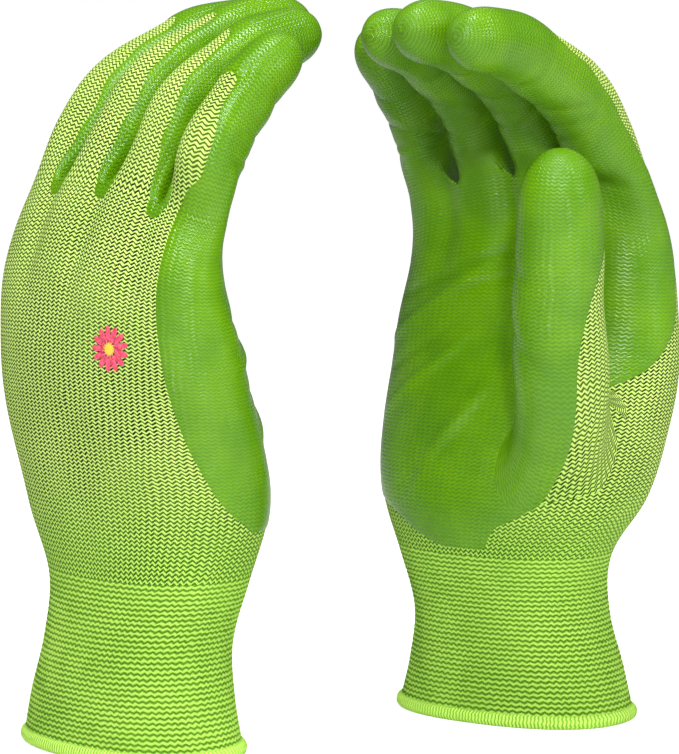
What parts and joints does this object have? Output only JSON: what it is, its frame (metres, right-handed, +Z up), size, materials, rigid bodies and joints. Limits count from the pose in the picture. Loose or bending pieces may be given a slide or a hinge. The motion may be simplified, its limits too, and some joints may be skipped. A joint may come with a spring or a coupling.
{
  "type": "pair of gardening gloves",
  "caption": "Pair of knit garden gloves with a rubber-dipped palm and fingers, elastic cuffs, overlocked hems and a small flower print, standing filled with the fingers curled.",
  "frame": {"origin": "on the ground, under the middle of the pair's box", "axes": "+Z up the gloves from hem to fingers, +X from the first glove to the second, +Y away from the front"},
  "size_m": [0.1942, 0.1166, 0.2105],
  "materials": {
    "hand_knit": "fine plain knit, light yellow-green yarn, matt",
    "cuff_knit": "chunky elastic knit, matt",
    "overlock": "fuzzy overlocked edge, matt",
    "nitrile": "satin dipped film with the knit showing through",
    "flower_print": "flat transfer print"
  },
  "bodies": {
    "glove_1_hand": {"glove_1_hem_overlock": "overlock", "glove_1_cuff_knit": "cuff_knit", "glove_1_palm_knit": "hand_knit", "glove_1_palm_coating": "nitrile", "glove_1_crotch_knit": "hand_knit", "glove_1_thumb_root_knit": "hand_knit", "glove_1_flower_print": "flower_print"},
    "glove_1_thumb": {"glove_1_thumb_knit": "hand_knit", "glove_1_thumb_coating": "nitrile"},
    "glove_1_index": {"glove_1_index_knit": "hand_knit", "glove_1_index_coating": "nitrile"},
    "glove_1_middle": {"glove_1_middle_knit": "hand_knit", "glove_1_middle_coating": "nitrile"},
    "glove_1_ring": {"glove_1_ring_knit": "hand_knit", "glove_1_ring_coating": "nitrile"},
    "glove_1_little": {"glove_1_little_knit": "hand_knit", "glove_1_little_coating": "nitrile"},
    "glove_2_hand": {"glove_2_hem_overlock": "overlock", "glove_2_cuff_knit": "cuff_knit", "glove_2_palm_knit": "hand_knit", "glove_2_palm_coating": "nitrile", "glove_2_crotch_knit": "hand_knit", "glove_2_thumb_root_knit": "hand_knit", "glove_2_flower_print": "flower_print"},
    "glove_2_thumb": {"glove_2_thumb_knit": "hand_knit", "glove_2_thumb_coating": "nitrile"},
    "glove_2_index": {"glove_2_index_knit": "hand_knit", "glove_2_index_coating": "nitrile"},
    "glove_2_middle": {"glove_2_middle_knit": "hand_knit", "glove_2_middle_coating": "nitrile"},
    "glove_2_ring": {"glove_2_ring_knit": "hand_knit", "glove_2_ring_coating": "nitrile"},
    "glove_2_little": {"glove_2_little_knit": "hand_knit", "glove_2_little_coating": "nitrile"}
  },
  "joints": [
    {"name": "glove_1_index_bend", "type": "hinge", "parent": "glove_1_hand", "child": "glove_1_index", "pos_m": [-0.08139, 0.00602, 0.152], "axis": [-0.6561, 0.7547, 0], "range_deg": [-30, 10], "stiffness_Nm_per_rad": 0.1, "deforming": ["glove_1_crotch_knit"]},
    {"name": "glove_1_middle_bend", "type": "hinge", "parent": "glove_1_hand", "child": "glove_1_middle", "pos_m": [-0.06809, -0.01156, 0.154], "axis": [-0.6561, 0.7547, 0], "range_deg": [-30, 25], "stiffness_Nm_per_rad": 0.1, "deforming": ["glove_1_crotch_knit"]},
    {"name": "glove_1_ring_bend", "type": "hinge", "parent": "glove_1_hand", "child": "glove_1_ring", "pos_m": [-0.05398, -0.02779, 0.151], "axis": [-0.6561, 0.7547, 0], "range_deg": [-30, 30], "stiffness_Nm_per_rad": 0.1, "deforming": ["glove_1_crotch_knit"]},
    {"name": "glove_1_little_bend", "type": "hinge", "parent": "glove_1_hand", "child": "glove_1_little", "pos_m": [-0.04016, -0.04293, 0.145], "axis": [-0.6561, 0.7547, 0], "range_deg": [-30, 30], "stiffness_Nm_per_rad": 0.1, "deforming": ["glove_1_crotch_knit"]},
    {"name": "glove_1_thumb_bend", "type": "hinge", "parent": "glove_1_hand", "child": "glove_1_thumb", "pos_m": [-0.05398, 0.03097, 0.11228], "axis": [0.047, 0.9667, -0.2516], "range_deg": [-25, 8], "stiffness_Nm_per_rad": 0.1, "deforming": ["glove_1_thumb_root_knit"]},
    {"name": "glove_2_index_bend", "type": "hinge", "parent": "glove_2_hand", "child": "glove_2_index", "pos_m": [0.08168, 0.00334, 0.152], "axis": [0.8192, -0.5736, 0], "range_deg": [-30, 10], "stiffness_Nm_per_rad": 0.1, "deforming": ["glove_2_crotch_knit"]},
    {"name": "glove_2_middle_bend", "type": "hinge", "parent": "glove_2_hand", "child": "glove_2_middle", "pos_m": [0.06452, 0.01718, 0.154], "axis": [0.8192, -0.5736, 0], "range_deg": [-30, 25], "stiffness_Nm_per_rad": 0.1, "deforming": ["glove_2_crotch_knit"]},
    {"name": "glove_2_ring_bend", "type": "hinge", "parent": "glove_2_hand", "child": "glove_2_ring", "pos_m": [0.0469, 0.02952, 0.151], "axis": [0.8192, -0.5736, 0], "range_deg": [-30, 30], "stiffness_Nm_per_rad": 0.1, "deforming": ["glove_2_crotch_knit"]},
    {"name": "glove_2_little_bend", "type": "hinge", "parent": "glove_2_hand", "child": "glove_2_little", "pos_m": [0.02982, 0.04087, 0.145], "axis": [0.8192, -0.5736, 0], "range_deg": [-30, 30], "stiffness_Nm_per_rad": 0.1, "deforming": ["glove_2_crotch_knit"]},
    {"name": "glove_2_thumb_bend", "type": "hinge", "parent": "glove_2_hand", "child": "glove_2_thumb", "pos_m": [0.06112, -0.02749, 0.11228], "axis": [0.1883, -0.9493, -0.2516], "range_deg": [-25, 8], "stiffness_Nm_per_rad": 0.1, "deforming": ["glove_2_thumb_root_knit"]},
    {"name": "pair_apart", "type": "slide", "parent": "glove_1_hand", "child": "glove_2_hand", "axis": [1, 0, 0], "range_m": [0, 0.15]}
  ]
}
